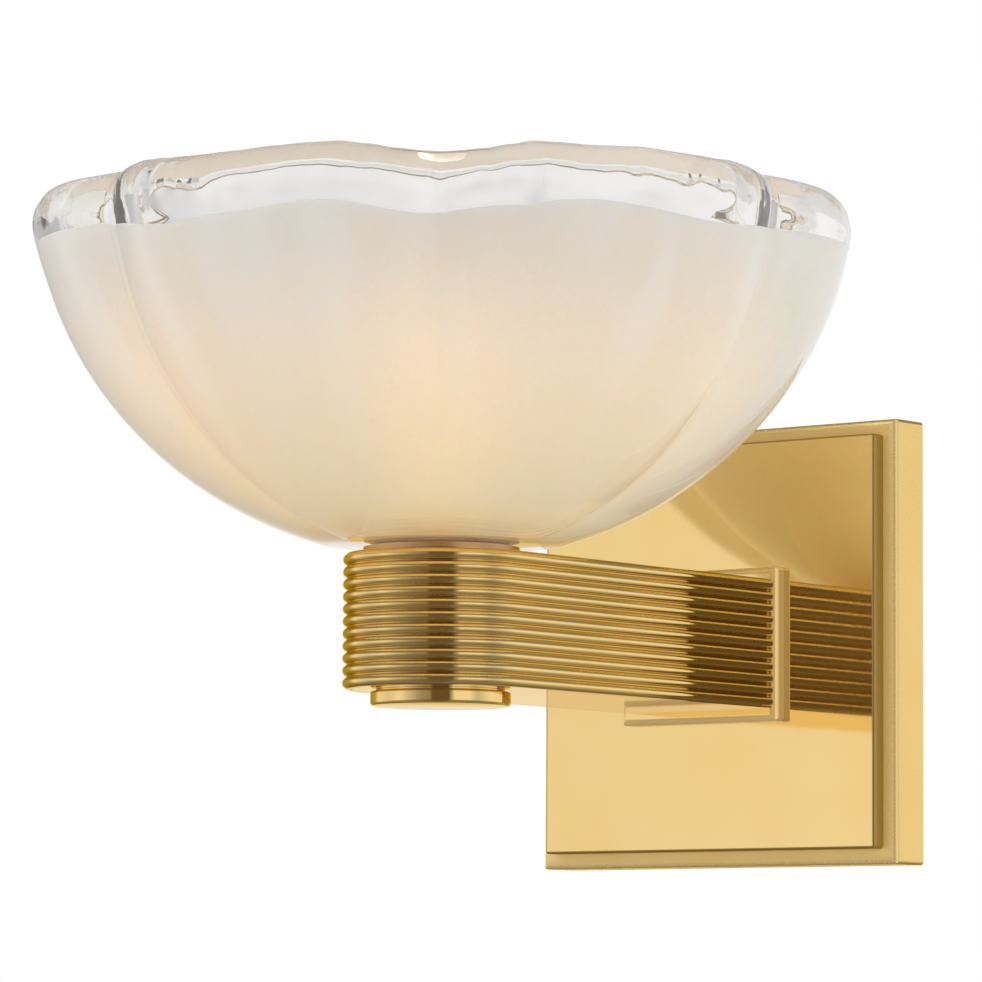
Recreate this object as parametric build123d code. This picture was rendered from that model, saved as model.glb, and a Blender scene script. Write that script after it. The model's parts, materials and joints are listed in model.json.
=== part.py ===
"""Wall-mounted vanity light: a lobed glass bowl on a reeded brass arm and a stepped square back plate.

Millimetres. The origin is the centre of the back plate's back face, which lies on the wall.
+Y points into the wall, the light faces -Y, +X is to the right seen from the front and +Z is up.
"""
import os
from math import acos, cos, radians, sin, sqrt

from build123d import *

# Clearances
fit_gap = 0.15            # between fixed pieces that slot together
thread_gap = 0.05         # radial, between a screw thread and its hole
hole_gap = 0.3            # radial, between a bolt and a plain hole
rest_gap = 0.05           # between a loose piece and the seat that it rests on
slide_gap = 0.3           # radial, between pieces that slide past each other

# Back plate: an open-backed pan with a raised panel on its front
plate_width = 127.0
pan_depth = 13.7
sheet = 1.6
panel_margin = 4.4
panel_rise = 4.6
plate_corner = 1.0
pan_edge = 1.8
panel_edge = 0.8
stud_radius = 1.5
stud_inset = 11.5         # from the panel's edge to each stud
stud_spare = 1.2          # thread showing past each nut
nut_small_flats = 5.5
nut_small_thick = 2.4

# Stiffener between the pan and the panel
backing_width = 80.0
backing_height = 60.0

# Crossbar on the wall box
bar_width = 30.0
bar_thick = 2.0
bar_tab = 10.0
bar_end_gap = 0.4
slot_spacing = 88.9
slot_length = 26.0
slot_width = 4.8
set_screw_radius = 2.0
set_screw_length = 6.0
set_screw_sink = 0.2
set_screw_key = 2.0
set_screw_key_depth = 2.5
set_screw_depth = 6.5     # from the wall to the screw's axis

# Collar plate between the panel and the arm
collar_width = 55.5
collar_height = 44.5
collar_thick = 4.3
collar_corner = 1.2
collar_edge = 2.0

# Arm
arm_width = 53.8
arm_height = 37.1
arm_reach = 140.5         # from the wall to the bowl's axis
reed_count = 11
reed_depth = 1.1
reed_land = 0.3
arm_wall = 2.4            # behind the reeds' grooves
arm_roof = 3.0
arm_end = 8.0
cover_thick = 2.5
cover_ledge = 1.2
tongue_width = 20.0
tongue_length = 3.0
tongue_thick = 1.0

# Bolts that hold the arm
bolt_radius = 2.5
bolt_spread = 15.0        # from the arm's centre to each bolt
bolt_head_radius = 4.4
bolt_head = 3.0
bolt_key = 4.0
bolt_key_depth = 2.0
washer_radius = 5.5
washer_thick = 1.0

# Wiring in the pan
wire_hole = 5.5
grommet_wall = 1.4
grommet_flange = 7.0
grommet_lip = 1.2
block_width = 22.0
block_height = 14.0
block_depth = 9.0
block_top = -12.0
pole_spread = 5.0
wire_bore = 1.6
pole_screw_radius = 1.7
pole_screw_slot = 0.6
block_screw_radius = 1.5
block_screw_head = 2.8
block_screw_head_thick = 2.0
block_screw_length = 9.5
ground_x = 24.0
ground_z = -38.0
ground_radius = 2.0
ground_head = 3.6
ground_head_thick = 2.2
ground_length = 5.0
ground_cup = 4.4
ground_cup_thick = 0.8

# Lead wires
lead_radius = 0.9
lead_spread = 1.5         # from the centre line to each lead inside the arm
lead_level = 8.0          # from the wall to the leads inside the pan
lead_bend = 5.0
lead_jog_bend = 2.5
lead_jog = 1.5            # straight run before the leads spread to their poles
lead_into_block = 4.0
lead_into_contact = 1.7

# Nipple, nuts and bottom cap
nipple_radius = 5.0
nipple_bore = 3.6
nipple_window_width = 5.6
nipple_window_height = 14.0
nipple_spare = 0.6
nut_flats = 14.0
nut_thick = 3.2
lock_washer_radius = 8.5
lock_washer_thick = 0.8
cap_radius = 19.2
cap_thick = 3.9
cap_step = 0.5            # shadow line between the arm and the cap
cap_step_inset = 1.6
cap_edge = 0.6
cap_thread = 3.0

# Lampholder cup with its seat flange, and the ring that clamps the bowl
seat_radius = 21.4
seat_thick = 1.8
cup_radius = 14.0
cup_wall = 1.3
cup_spare = 8.0           # cup showing above the ring
gasket_thick = 0.8
gasket_inset = 1.0
ring_radius = 19.5
ring_height = 5.0
ring_notch_count = 6
ring_notch_width = 4.0
ring_notch_depth = 1.5

# Glass bowl: an elliptical profile drawn out into lobes, cased with opal glass inside
bowl_radius = 113.3       # crest radius at the profile's widest level
bowl_drop = 104.4         # the profile's half axis, downwards
bowl_flat = 4.5           # tip of the profile that the flat base cuts away
bowl_height = 95.8
bowl_floor = 10.0
clear_wall = 6.5
opal_wall = 2.5
opal_short = 13.2         # from the rim down to the opal's edge
rim_round = 3.0
rim_strips = 3            # flats that make up each rounded edge of the rim
lobe_count = 6
lobe_offset = 44.0        # from the bowl's axis to each lobe's centre
lobe_turn = 8.7           # degrees from straight ahead to the nearest crest
valley_round = 8.0
bowl_hole_gap = 1.0
loft_levels = 8

# Lampholder
holder_flange = 2.5
holder_depth = 15.0
socket_length = 17.4
socket_width = 9.6
socket_depth = 6.0
pin_spread = 4.5
contact_hole = 2.4
contact_radius = 2.3
contact_bore = 1.35
contact_sink = 0.5
contact_lift = 1.0
holder_screw_spread = 9.0
holder_screw_radius = 1.5
holder_screw_head = 2.6
holder_screw_head_thick = 1.8
holder_screw_slot = 0.7

# Lamp
lamp_lift = 0.3           # from the socket's floor to the lamp's foot
lamp_foot_gap = 0.4
lamp_shoulder = 0.6       # from the holder's top to the lamp's body
lamp_radius = 9.5
lamp_body_height = 11.0
lamp_spigot = 3.0
lamp_wall = 1.0
lamp_globe_height = 34.0
pin_radius = 1.0
pin_length = 8.0
board_width = 6.0
board_thick = 1.2
board_height = 24.0
chip_size = 3.0
chip_thick = 0.8
chip_count = 5
chip_pitch = 4.4

# Levels that follow from the sizes above
panel_front = pan_depth + panel_rise
collar_front = panel_front + collar_thick
pan_inside = pan_depth - sheet
panel_inside = panel_front - sheet
panel_width = plate_width - 2 * panel_margin
stud_place = panel_width / 2 - stud_inset
arm_top = arm_height / 2
groove_half = arm_width / 2 - reed_depth
cavity_half = groove_half - arm_wall
cover_half = cavity_half + cover_ledge
seat_top = arm_top + seat_thick
bowl_base = seat_top + gasket_thick + rest_gap
rim_top = bowl_base + bowl_height
floor_top = bowl_base + bowl_floor
ring_base = floor_top + gasket_thick + rest_gap
cup_top = ring_base + ring_height + cup_spare
holder_top = cup_top + holder_flange
holder_base = cup_top - holder_depth
socket_floor = holder_top - socket_depth
cap_top = -arm_top - rest_gap
nipple_top = seat_top + lock_washer_thick + nut_thick + nipple_spare
nipple_base = cap_top - cap_thread + fit_gap
bolt_places = [(side * bolt_spread, 0) for side in (-1, 1)]
stud_places = [(x * stud_place, z * stud_place) for x in (-1, 1) for z in (-1, 1)]
crest_step = 360 / lobe_count


def slab(width, height, near, far, x=0, z=0):
    """Block of this width and height between two distances in front of the wall."""
    return Pos(x, -(near + far) / 2, z) * Box(width, far - near, height)


def rod(radius, near, far, x=0, z=0):
    """Round bar that stands out of the wall between two distances."""
    along = (Align.CENTER, Align.CENTER, Align.MIN)
    return Pos(x, -near, z) * Rot(90, 0, 0) * Cylinder(radius, far - near, align=along)


def drum(radius, low, high, x=0, y=-arm_reach):
    """Upright cylinder between two heights, on the bowl's axis unless placed elsewhere."""
    along = (Align.CENTER, Align.CENTER, Align.MIN)
    return Pos(x, y, low) * Cylinder(radius, high - low, align=along)


def hexagon(flats, low, high):
    """Upright hexagonal prism on the bowl's axis, with flats towards the wall and the front."""
    outline = Pos(0, -arm_reach, low) * RegularPolygon(flats / 2, 6, major_radius=False)
    return extrude(outline, high - low)


def socket_key(flats, near, far, x=0, z=0):
    """Hexagonal key socket that opens towards the wall."""
    outline = Pos(x, -near, z) * Rot(90, 0, 0) * RegularPolygon(flats / 2, 6, major_radius=False)
    return extrude(outline, far - near, dir=(0, -1, 0))


def drill(shape, radius, near, far, places):
    """Holes square to the wall through a shape."""
    for x, z in places:
        shape -= rod(radius, near, far, x, z)
    return shape


def rounded_block(width, height, near, far, corner, edge):
    """Block whose corners and front edges are rounded, each by a radius of its own."""
    block = fillet(slab(width, height, near, far).edges().filter_by(Axis.Y), corner)
    for along in (Axis.X, Axis.Z):
        front = slab(width, height, near, far).faces().sort_by(Axis.Y)[0]
        block &= fillet(front.edges().filter_by(along), edge)
    return block


def tray(width, near, far, edge):
    """Square sheet-metal tray that opens towards the wall, with bent front edges."""
    shell = rounded_block(width, width, near, far, plate_corner, edge)
    return shell - slab(width - 2 * sheet, width - 2 * sheet, near, far - sheet)


def stadium(half_width, back, low, high):
    """Flat piece with the arm's plan: straight sides from the back, and a round nose."""
    straight = slab(2 * half_width, high - low, back, arm_reach, 0, (low + high) / 2)
    return straight + drum(half_width, low, high)


def washer(outer, inner, low, high):
    """Upright ring on the bowl's axis."""
    return drum(outer, low, high) - drum(inner, low, high)


def make_pan():
    pan = tray(plate_width, 0, pan_depth, pan_edge)
    pan = drill(pan, wire_hole, pan_inside, pan_depth, [(0, 0)])
    pan = drill(pan, bolt_radius + hole_gap, pan_inside, pan_depth, bolt_places)
    pan = drill(pan, stud_radius + hole_gap, pan_inside, pan_depth, stud_places)
    block_middle = block_top - block_height / 2
    pan = drill(pan, block_screw_radius + hole_gap, pan_inside, pan_depth, [(0, block_middle)])
    pan = drill(pan, ground_radius + thread_gap, pan_inside, pan_depth, [(ground_x, ground_z)])
    return pan - drum(set_screw_radius + thread_gap, -plate_width, plate_width, 0, -set_screw_depth)


def make_panel():
    panel = tray(panel_width, pan_depth, panel_front, panel_edge)
    panel = drill(panel, wire_hole, panel_inside, panel_front, [(0, 0)])
    panel = drill(panel, bolt_radius + hole_gap, panel_inside, panel_front, bolt_places)
    for x, z in stud_places:
        panel += rod(stud_radius, pan_inside - nut_small_thick - stud_spare, panel_inside, x, z)
    return panel


def make_panel_nuts():
    nuts = []
    for x, z in stud_places:
        nut = socket_key(nut_small_flats, pan_inside - nut_small_thick, pan_inside, x, z)
        nuts.append(nut - rod(stud_radius + thread_gap, 0, pan_inside, x, z))
    return Compound(nuts)


def make_backing():
    plate = slab(backing_width, backing_height, pan_depth, panel_inside)
    plate = drill(plate, wire_hole, pan_depth, panel_inside, [(0, 0)])
    plate = drill(plate, bolt_radius + hole_gap, pan_depth, panel_inside, bolt_places)
    tapped = [(0, block_top - block_height / 2)]
    return drill(plate, block_screw_radius + thread_gap, pan_depth, panel_inside, tapped)


def make_crossbar():
    half = plate_width / 2 - sheet - bar_end_gap
    bar = slab(bar_width, 2 * half, 0, bar_thick)
    for side in (-1, 1):
        bar += slab(bar_width, bar_thick, 0, bar_tab, 0, side * (half - bar_thick / 2))
        straight = slot_length - slot_width
        bar -= slab(slot_width, straight, 0, bar_thick, 0, side * slot_spacing / 2)
        ends = [(0, side * slot_spacing / 2 + end * straight / 2) for end in (-1, 1)]
        bar = drill(bar, slot_width / 2, 0, bar_thick, ends)
    return bar - drum(set_screw_radius + thread_gap, -plate_width, plate_width, 0, -set_screw_depth)


def make_set_screws():
    top = plate_width / 2 - set_screw_sink
    screw = drum(set_screw_radius, top - set_screw_length, top, 0, -set_screw_depth)
    key = Pos(0, -set_screw_depth, top) * RegularPolygon(set_screw_key / 2, 6, major_radius=False)
    screw -= extrude(key, -set_screw_key_depth)
    return Compound([screw, mirror(screw, about=Plane.XY)])


def make_collar():
    collar = rounded_block(collar_width, collar_height, panel_front, collar_front, collar_corner, collar_edge)
    collar = drill(collar, wire_hole, panel_front, collar_front, [(0, 0)])
    return drill(collar, bolt_radius + hole_gap, panel_front, collar_front, bolt_places)


def make_bolts():
    head_back = pan_inside - washer_thick - bolt_head
    bolts = []
    for x, z in bolt_places:
        bolt = rod(bolt_head_radius, head_back, head_back + bolt_head, x, z)
        bolt += rod(bolt_radius, head_back + bolt_head, collar_front + arm_end, x, z)
        bolts.append(bolt - socket_key(bolt_key, head_back, head_back + bolt_key_depth, x, z))
    return Compound(bolts)


def make_bolt_washers():
    rings = []
    for x, z in bolt_places:
        ring = rod(washer_radius, pan_inside - washer_thick, pan_inside, x, z)
        rings.append(ring - rod(bolt_radius + hole_gap, 0, pan_inside, x, z))
    return Compound(rings)


def make_grommet():
    outer = wire_hole - fit_gap
    bush = rod(outer, pan_inside, panel_inside) + rod(grommet_flange, pan_inside - grommet_lip, pan_inside)
    return bush - rod(outer - grommet_wall, 0, panel_front)


def make_block():
    middle = block_top - block_height / 2
    face = pan_inside - block_depth
    block = slab(block_width, block_height, face, pan_inside, 0, middle)
    for side in (-1, 1):
        block -= drum(wire_bore, block_top - block_height, block_top, side * pole_spread, -lead_level)
        block -= rod(pole_screw_radius + thread_gap, face, lead_level, side * pole_spread, middle)
    block -= rod(block_screw_radius + hole_gap, face, pan_inside, 0, middle)
    return block - rod(block_screw_head + hole_gap, face, face + block_screw_head_thick, 0, middle)


def make_pole_screws():
    middle = block_top - block_height / 2
    face = pan_inside - block_depth
    screws = []
    for side in (-1, 1):
        x = side * pole_spread
        screw = rod(pole_screw_radius, face, lead_level - wire_bore, x, middle)
        slot = slab(2 * pole_screw_radius, pole_screw_slot, face, face + pole_screw_slot, x, middle)
        screws.append(screw - slot)
    return Compound(screws)


def make_block_screw():
    middle = block_top - block_height / 2
    seat = pan_inside - block_depth + block_screw_head_thick
    screw = rod(block_screw_head, seat - block_screw_head_thick, seat, 0, middle)
    return screw + rod(block_screw_radius, seat, seat + block_screw_length, 0, middle)


def make_ground_screw():
    seat = pan_inside - ground_cup_thick
    screw = rod(ground_head, seat - ground_head_thick, seat, ground_x, ground_z)
    return screw + rod(ground_radius, seat, seat + ground_length, ground_x, ground_z)


def make_ground_cup():
    cup = rod(ground_cup, pan_inside - ground_cup_thick, pan_inside, ground_x, ground_z)
    return cup - rod(ground_radius + hole_gap, 0, pan_inside, ground_x, ground_z)


def reeded_half():
    """Half of the arm's section: flat top and bottom, and a column of round reeds on the side."""
    pitch = arm_height / reed_count
    edges = []
    level = -arm_top
    for reed in range(reed_count):
        low = -arm_top + reed * pitch + reed_land / 2
        high = low + pitch - reed_land
        crest = (groove_half + reed_depth, -arm_reach, (low + high) / 2)
        edges.append(Line((groove_half, -arm_reach, level), (groove_half, -arm_reach, low)))
        edges.append(ThreePointArc((groove_half, -arm_reach, low), crest, (groove_half, -arm_reach, high)))
        level = high
    edges.append(Line((groove_half, -arm_reach, level), (groove_half, -arm_reach, arm_top)))
    edges.append(Line((groove_half, -arm_reach, arm_top), (0, -arm_reach, arm_top)))
    edges.append(Line((0, -arm_reach, arm_top), (0, -arm_reach, -arm_top)))
    edges.append(Line((0, -arm_reach, -arm_top), (groove_half, -arm_reach, -arm_top)))
    return Face(Wire(edges))


def make_arm():
    section = reeded_half()
    half = extrude(section, arm_reach - collar_front, dir=(0, 1, 0))
    nose = revolve(section, Axis((0, -arm_reach, 0), (0, 0, -1)), 180)
    arm = half + mirror(half, about=Plane.YZ) + nose
    inner_end = collar_front + arm_end
    arm -= stadium(cavity_half, inner_end, -arm_top, arm_top - arm_roof)
    arm -= stadium(cover_half, inner_end - cover_ledge, -arm_top, cover_thick - arm_top)
    tongue_top = cover_thick - arm_top + tongue_thick + fit_gap
    arm -= slab(tongue_width + 2 * fit_gap, tongue_thick + fit_gap, inner_end - tongue_length - fit_gap,
                inner_end, 0, tongue_top - (tongue_thick + fit_gap) / 2)
    arm = drill(arm, wire_hole, collar_front, inner_end, [(0, 0)])
    arm = drill(arm, bolt_radius + thread_gap, collar_front, inner_end, bolt_places)
    return arm - drum(nipple_radius + hole_gap, 0, arm_top)


def make_cover():
    inner_end = collar_front + arm_end
    roof = cover_thick - arm_top
    cover = stadium(cover_half - fit_gap, inner_end - cover_ledge + fit_gap, -arm_top, roof)
    cover += slab(tongue_width, tongue_thick, inner_end - tongue_length, inner_end + tongue_length,
                  0, roof + tongue_thick / 2)
    return cover - drum(nipple_radius + hole_gap, -arm_top, 0)


def make_nipple():
    pipe = washer(nipple_radius, nipple_bore, nipple_base, nipple_top)
    return pipe - slab(nipple_window_width, nipple_window_height, arm_reach - nipple_radius, arm_reach)


def make_nipple_nuts():
    ceiling = arm_top - arm_roof - lock_washer_thick
    floor = seat_top + lock_washer_thick
    bore = drum(nipple_radius + thread_gap, nipple_base, nipple_top)
    return Compound([hexagon(nut_flats, ceiling - nut_thick, ceiling) - bore,
                     hexagon(nut_flats, floor, floor + nut_thick) - bore])


def make_lock_washers():
    ceiling = arm_top - arm_roof
    bore = nipple_radius + hole_gap
    upper = nut_flats / 2
    return Compound([washer(lock_washer_radius, bore, ceiling - lock_washer_thick, ceiling),
                     washer(upper, bore, seat_top, seat_top + lock_washer_thick)])


def make_cap():
    low = cap_top - cap_step - cap_thick
    cap = drum(cap_radius, low, cap_top - cap_step)
    cap = chamfer(cap.edges().filter_by(GeomType.CIRCLE), cap_edge)
    cap += drum(cap_radius - cap_step_inset, cap_top - cap_step, cap_top)
    return cap - drum(nipple_radius + thread_gap, cap_top - cap_thread, cap_top)


def make_cup():
    cup = drum(seat_radius, arm_top, seat_top) + washer(cup_radius, cup_radius - cup_wall, seat_top, cup_top)
    cup -= drum(nipple_radius + hole_gap, arm_top, seat_top)
    for side in (-1, 1):
        place = -arm_reach + side * holder_screw_spread
        cup -= drum(holder_screw_radius + thread_gap, arm_top, seat_top, 0, place)
    return cup


def gasket(low):
    outer = min(seat_radius, ring_radius) - gasket_inset
    return washer(outer, cup_radius + slide_gap, low, low + gasket_thick)


def make_ring():
    ring = washer(ring_radius, cup_radius + slide_gap, ring_base, ring_base + ring_height)
    for notch in range(ring_notch_count):
        turn = Pos(0, -arm_reach, ring_base + ring_height / 2) * Rot(0, 0, 360 / ring_notch_count * notch)
        ring -= turn * Pos(ring_radius, 0, 0) * Box(2 * ring_notch_depth, ring_notch_width, ring_height)
    return ring


def lobed_outline(inset, share, level):
    """Level line of the bowl: lobe arcs joined by rounded valleys, drawn inwards by the wall's inset."""
    offset = lobe_offset * share
    lobe = (bowl_radius - inset - lobe_offset) * share
    valley = (valley_round + inset) * share
    half = radians(crest_step / 2)
    reach = offset * cos(half) + sqrt((lobe + valley) ** 2 - (offset * sin(half)) ** 2)

    def place(distance, angle):
        return Vector(distance * cos(angle), distance * sin(angle) - arm_reach, level)

    edges = []
    for number in range(lobe_count):
        crest = radians(lobe_turn - 90 + number * crest_step)
        centre = place(offset, crest)
        before = place(reach, crest - half)
        after = place(reach, crest + half)
        following = place(offset, crest + 2 * half)
        start = centre + (before - centre) * (lobe / (lobe + valley))
        end = centre + (after - centre) * (lobe / (lobe + valley))
        next_start = following + (after - following) * (lobe / (lobe + valley))
        edges.append(ThreePointArc(start, place(offset + lobe, crest), end))
        edges.append(ThreePointArc(end, place(reach - valley, crest + half), next_start))
    return Wire(edges)


def lobed_solid(inset, low, high):
    """Solid inside the bowl's profile, drawn inwards by the inset, between two heights."""
    centre = bowl_base - bowl_flat + bowl_drop
    drop = bowl_drop - inset
    start = acos((centre - low) / drop)
    end = acos((centre - high) / drop)
    wires = []
    for step in range(loft_levels):
        angle = start + (end - start) * step / (loft_levels - 1)
        wires.append(lobed_outline(inset, sin(angle), centre - drop * cos(angle)))
    return Solid.make_loft(wires)


def rim_solid(inset, side):
    """Solid inside one edge of the rim, which the rounding draws inwards (1) or outwards (-1)."""
    centre = bowl_base - bowl_flat + bowl_drop
    wires = []
    for step in range(rim_strips + 1):
        angle = radians(90 * step / rim_strips)
        drawn = inset + side * rim_round * (1 - cos(angle))
        level = rim_top - rim_round + rim_round * sin(angle)
        share = sin(acos((centre - level) / (bowl_drop - drawn)))
        wires.append(lobed_outline(drawn, share, level))
    return Solid.make_loft(wires, ruled=True)


def make_bowl():
    opal_edge = rim_top - opal_short
    shoulder = rim_top - rim_round
    wall = clear_wall + opal_wall
    bowl = lobed_solid(0, bowl_base, shoulder) + rim_solid(0, 1)
    bowl -= lobed_solid(wall, floor_top, shoulder)
    bowl -= rim_solid(wall, -1)
    bowl -= lobed_solid(clear_wall, floor_top - opal_wall, opal_edge)
    return bowl - drum(cup_radius + bowl_hole_gap, bowl_base, floor_top)


def make_opal():
    opal_edge = rim_top - opal_short
    opal = lobed_solid(clear_wall, floor_top - opal_wall, opal_edge)
    opal -= lobed_solid(clear_wall + opal_wall, floor_top, rim_top)
    return opal - drum(cup_radius + bowl_hole_gap, bowl_base, floor_top)


def oblong(length, width, low, high):
    """Upright block with round ends, on the bowl's axis."""
    outline = Pos(0, -arm_reach, low) * SlotOverall(length, width)
    return extrude(outline, high - low)


def make_holder():
    """Lower half of the holder, which houses the contacts."""
    holder = drum(cup_radius - cup_wall - fit_gap, holder_base, socket_floor)
    for side in (-1, 1):
        place = -arm_reach + side * holder_screw_spread
        holder -= drum(contact_hole, holder_base, socket_floor, side * pin_spread)
        holder -= drum(holder_screw_radius + hole_gap, holder_base, socket_floor, 0, place)
    return holder


def make_holder_face():
    """Upper half of the holder: the lamp's socket, in a flange that rests on the cup's edge."""
    face = drum(cup_radius - cup_wall - fit_gap, socket_floor, cup_top)
    face += drum(cup_radius, cup_top, holder_top)
    face -= oblong(socket_length, socket_width, socket_floor, holder_top)
    for side in (-1, 1):
        place = -arm_reach + side * holder_screw_spread
        face -= drum(holder_screw_radius + hole_gap, socket_floor, holder_top, 0, place)
        face -= drum(holder_screw_head + hole_gap, holder_top - holder_screw_head_thick, holder_top, 0, place)
    return face


def make_contacts():
    low = holder_base + contact_lift
    high = socket_floor - contact_sink
    clips = []
    for side in (-1, 1):
        clip = drum(contact_radius, low, high, side * pin_spread)
        clips.append(clip - drum(contact_bore, low, high, side * pin_spread))
    return Compound(clips)


def make_holder_screws():
    seat = holder_top - holder_screw_head_thick
    screws = []
    for side in (-1, 1):
        place = -arm_reach + side * holder_screw_spread
        screw = drum(holder_screw_head, seat, holder_top, 0, place)
        screw += drum(holder_screw_radius, arm_top + fit_gap, seat, 0, place)
        slot = Box(2 * holder_screw_head, holder_screw_slot, holder_screw_slot)
        screws.append(screw - Pos(0, place, holder_top - holder_screw_slot / 2) * slot)
    return Compound(screws)


foot_base = socket_floor + lamp_lift
body_base = holder_top + lamp_shoulder
body_top = body_base + lamp_body_height
globe_bore = lamp_radius - lamp_wall


def make_lamp_base():
    base = oblong(socket_length - 2 * lamp_foot_gap, socket_width - 2 * lamp_foot_gap, foot_base, body_base)
    base += drum(lamp_radius, body_base, body_top)
    return base + drum(globe_bore - fit_gap, body_top, body_top + lamp_spigot)


def make_pins():
    tip = foot_base - pin_length
    pins = []
    for side in (-1, 1):
        pin = drum(pin_radius, tip + pin_radius, foot_base, side * pin_spread)
        pins.append(pin + Pos(side * pin_spread, -arm_reach, tip + pin_radius) * Sphere(pin_radius))
    return Compound(pins)


def capsule(radius, low, high):
    """Upright cylinder on the bowl's axis with a hemispherical top."""
    return drum(radius, low, high - radius) + Pos(0, -arm_reach, high - radius) * Sphere(radius)


def make_globe():
    top = body_top + lamp_globe_height
    return capsule(lamp_radius, body_top, top) - capsule(globe_bore, body_top, top - lamp_wall) - drum(
        globe_bore, body_top, body_top + lamp_radius)


def make_board():
    low = body_top + lamp_spigot
    return slab(board_width, board_height, arm_reach - board_thick / 2, arm_reach + board_thick / 2,
                0, low + board_height / 2)


def make_chips():
    middle = body_top + lamp_spigot + board_height / 2
    near = arm_reach + board_thick / 2
    chips = []
    for number in range(chip_count):
        level = middle + (number - (chip_count - 1) / 2) * chip_pitch
        chips.append(slab(chip_size, chip_size, near, near + chip_thick, 0, level))
        face = near - board_thick
        chips.append(slab(chip_size, chip_size, face - chip_thick, face, 0, level))
    return Compound(chips)


def make_lead(side):
    """Lead from a holder contact, down the nipple, along the arm and into the terminal block."""
    contact = holder_base + contact_lift + lead_into_contact
    inside = side * lead_spread
    pole = side * pole_spread
    jog = block_top + lead_radius
    route = [(side * pin_spread, -arm_reach, contact),
             (side * pin_spread, -arm_reach, holder_base - lead_radius),
             (inside, -arm_reach, nipple_top - lead_radius),
             (inside, -arm_reach, 0),
             (inside, -lead_level, 0),
             (inside, -lead_level, -lead_bend - lead_jog),
             (pole, -lead_level, jog),
             (pole, -lead_level, block_top - lead_into_block)]
    bends = [lead_jog_bend, lead_jog_bend, lead_bend, lead_bend, lead_jog_bend, lead_jog_bend]
    path = FilletPolyline(*route, radius=bends)
    profile = Plane(origin=path @ 0, z_dir=path % 0) * Circle(lead_radius)
    return sweep(profile, path)


pieces = {
    "backplate_pan": make_pan(),
    "front_panel": make_panel(),
    "panel_nuts": make_panel_nuts(),
    "backing_plate": make_backing(),
    "wall_crossbar": make_crossbar(),
    "plate_set_screws": make_set_screws(),
    "arm_collar": make_collar(),
    "arm_bolts": make_bolts(),
    "arm_bolt_washers": make_bolt_washers(),
    "wire_grommet": make_grommet(),
    "terminal_block": make_block(),
    "terminal_screws": make_pole_screws(),
    "block_screw": make_block_screw(),
    "ground_screw": make_ground_screw(),
    "ground_cup_washer": make_ground_cup(),
    "live_lead": make_lead(1),
    "neutral_lead": make_lead(-1),
    "arm_body": make_arm(),
    "arm_bottom_cover": make_cover(),
    "threaded_nipple": make_nipple(),
    "nipple_nuts": make_nipple_nuts(),
    "lock_washers": make_lock_washers(),
    "bottom_cap": make_cap(),
    "lampholder_cup": make_cup(),
    "lower_gasket": gasket(seat_top),
    "glass_bowl": make_bowl(),
    "opal_lining": make_opal(),
    "upper_gasket": gasket(floor_top),
    "shade_ring": make_ring(),
    "lampholder_body": make_holder(),
    "lampholder_face": make_holder_face(),
    "holder_contacts": make_contacts(),
    "holder_screws": make_holder_screws(),
    "lamp_base": make_lamp_base(),
    "lamp_pins": make_pins(),
    "lamp_globe": make_globe(),
    "led_board": make_board(),
    "led_chips": make_chips(),
}

os.makedirs("parts", exist_ok=True)
for name, shape in pieces.items():
    export_step(shape, f"parts/{name}.step")
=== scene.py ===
import json
from math import acos, atan2, cos, degrees, exp, pi, radians, sin, sqrt

import bmesh
import bpy
from mathutils import Matrix, Vector, noise


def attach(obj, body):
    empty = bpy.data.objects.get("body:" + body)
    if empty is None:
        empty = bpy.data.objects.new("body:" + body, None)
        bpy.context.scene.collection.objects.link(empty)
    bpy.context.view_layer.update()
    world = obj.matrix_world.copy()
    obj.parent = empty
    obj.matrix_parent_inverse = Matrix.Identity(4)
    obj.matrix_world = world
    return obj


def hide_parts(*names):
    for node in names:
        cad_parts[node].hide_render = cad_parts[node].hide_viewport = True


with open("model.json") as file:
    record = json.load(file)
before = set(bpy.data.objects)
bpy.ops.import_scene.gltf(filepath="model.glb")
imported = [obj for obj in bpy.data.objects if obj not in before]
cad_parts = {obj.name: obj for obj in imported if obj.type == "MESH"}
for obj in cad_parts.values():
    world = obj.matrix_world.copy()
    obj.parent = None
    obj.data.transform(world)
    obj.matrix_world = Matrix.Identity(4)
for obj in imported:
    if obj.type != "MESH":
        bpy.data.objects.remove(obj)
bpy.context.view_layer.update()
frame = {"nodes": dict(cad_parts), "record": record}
scene = bpy.context.scene
scene.view_settings.view_transform = "Standard"
mm = 0.001
bowlY = -140.5  # the bowl's axis in front of the wall, mm
print("frame loaded:", len(frame["nodes"]), "nodes")


# loops of equal length are bridged in turn; an open chain is capped at both ends
def skinLoops(name, loops, closeChain=False, smoothAngle=32):
    mesh = bpy.data.meshes.new(name)
    bm = bmesh.new()
    rows = [[bm.verts.new((x * mm, y * mm, z * mm)) for x, y, z in loop] for loop in loops]
    pairs = list(zip(rows, rows[1:]))
    if closeChain:
        pairs.append((rows[-1], rows[0]))
    for low, high in pairs:
        count = len(low)
        for i in range(count):
            j = (i + 1) % count
            bm.faces.new((low[i], low[j], high[j], high[i]))
    if not closeChain:
        bm.faces.new(rows[0][::-1])
        bm.faces.new(rows[-1])
    bmesh.ops.recalc_face_normals(bm, faces=bm.faces)
    bm.to_mesh(mesh)
    bm.free()
    for polygon in mesh.polygons:
        polygon.use_smooth = True
    mesh.set_sharp_from_angle(angle=radians(smoothAngle))
    piece = bpy.data.objects.new(name, mesh)
    scene.collection.objects.link(piece)
    return piece


def turnedLoops(profile, steps):
    turns = [2 * pi * i / steps for i in range(steps)]
    return [[(r * cos(turn), bowlY + r * sin(turn), z) for turn in turns] for r, z in profile]


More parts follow.
